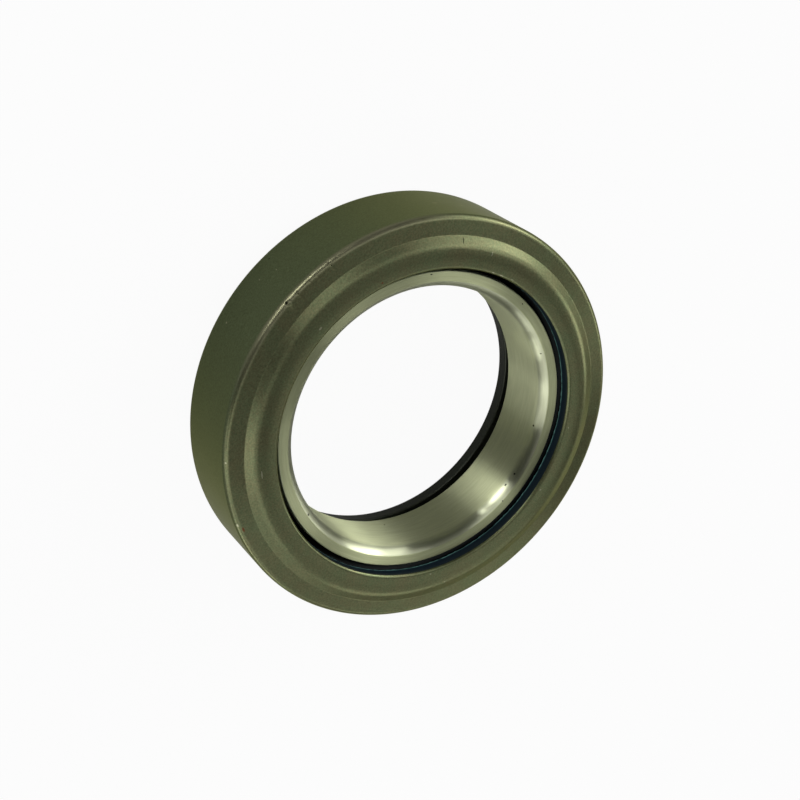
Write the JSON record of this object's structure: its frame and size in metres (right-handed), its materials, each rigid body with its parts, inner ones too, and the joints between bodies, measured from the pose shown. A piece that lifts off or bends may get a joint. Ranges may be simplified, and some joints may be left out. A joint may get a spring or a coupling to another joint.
{
  "type": "thrust bearing",
  "caption": "Sealed thrust ball bearing of the clutch release kind: drawn steel casing with a stepped front face, bright inner ring with a plain bore, rubber seals and a flanged outer race.",
  "frame": {"origin": "centre of the rear contact face, on the bearing's axis; the bearing lies flat on that face", "axes": "+Z along the bearing's axis, from the rear contact face towards the stepped front face with the seal; X and Y across it, with the first ball on +X"},
  "size_m": [0.1, 0.1, 0.0259],
  "materials": {
    "phosphated_sheet": "dark olive phosphate on drawn sheet steel, oiled, with fine turning marks and handling specks",
    "phosphated_steel": "dark olive phosphate on turned and hardened bearing steel",
    "ground_steel": "ground and honed bearing steel, bright, with fine circular marks",
    "seal_rubber": "dark blue nitrile rubber, smooth, faintly greased",
    "rear_seal_rubber": "black nitrile rubber, smooth",
    "cage_plastic": "moulded polyamide, satin",
    "ball_steel": "polished bearing steel"
  },
  "bodies": {
    "inner": {"inner_ring": "ground_steel"},
    "outer": {"outer_ring": "phosphated_steel", "casing": "phosphated_sheet", "front_seal": "seal_rubber", "rear_seal": "rear_seal_rubber"},
    "ball_set": {"cage": "cage_plastic", "ball_01": "ball_steel", "ball_02": "ball_steel", "ball_03": "ball_steel", "ball_04": "ball_steel", "ball_05": "ball_steel", "ball_06": "ball_steel", "ball_07": "ball_steel", "ball_08": "ball_steel", "ball_09": "ball_steel", "ball_10": "ball_steel", "ball_11": "ball_steel", "ball_12": "ball_steel", "ball_13": "ball_steel", "ball_14": "ball_steel", "ball_15": "ball_steel", "ball_16": "ball_steel", "ball_17": "ball_steel", "ball_18": "ball_steel", "ball_19": "ball_steel", "ball_20": "ball_steel"}
  },
  "joints": [
    {"name": "outer_spin", "type": "hinge", "parent": "inner", "child": "outer", "pos_m": [0, 0, 0], "axis": [0, 0, 1], "continuous": true},
    {"name": "cage_spin", "type": "hinge", "parent": "inner", "child": "ball_set", "pos_m": [0, 0, 0], "axis": [0, 0, 1], "continuous": true}
  ],
  "couplings": [
    {"joint": "cage_spin", "follows": "outer_spin", "ratio": 0.54045}
  ]
}
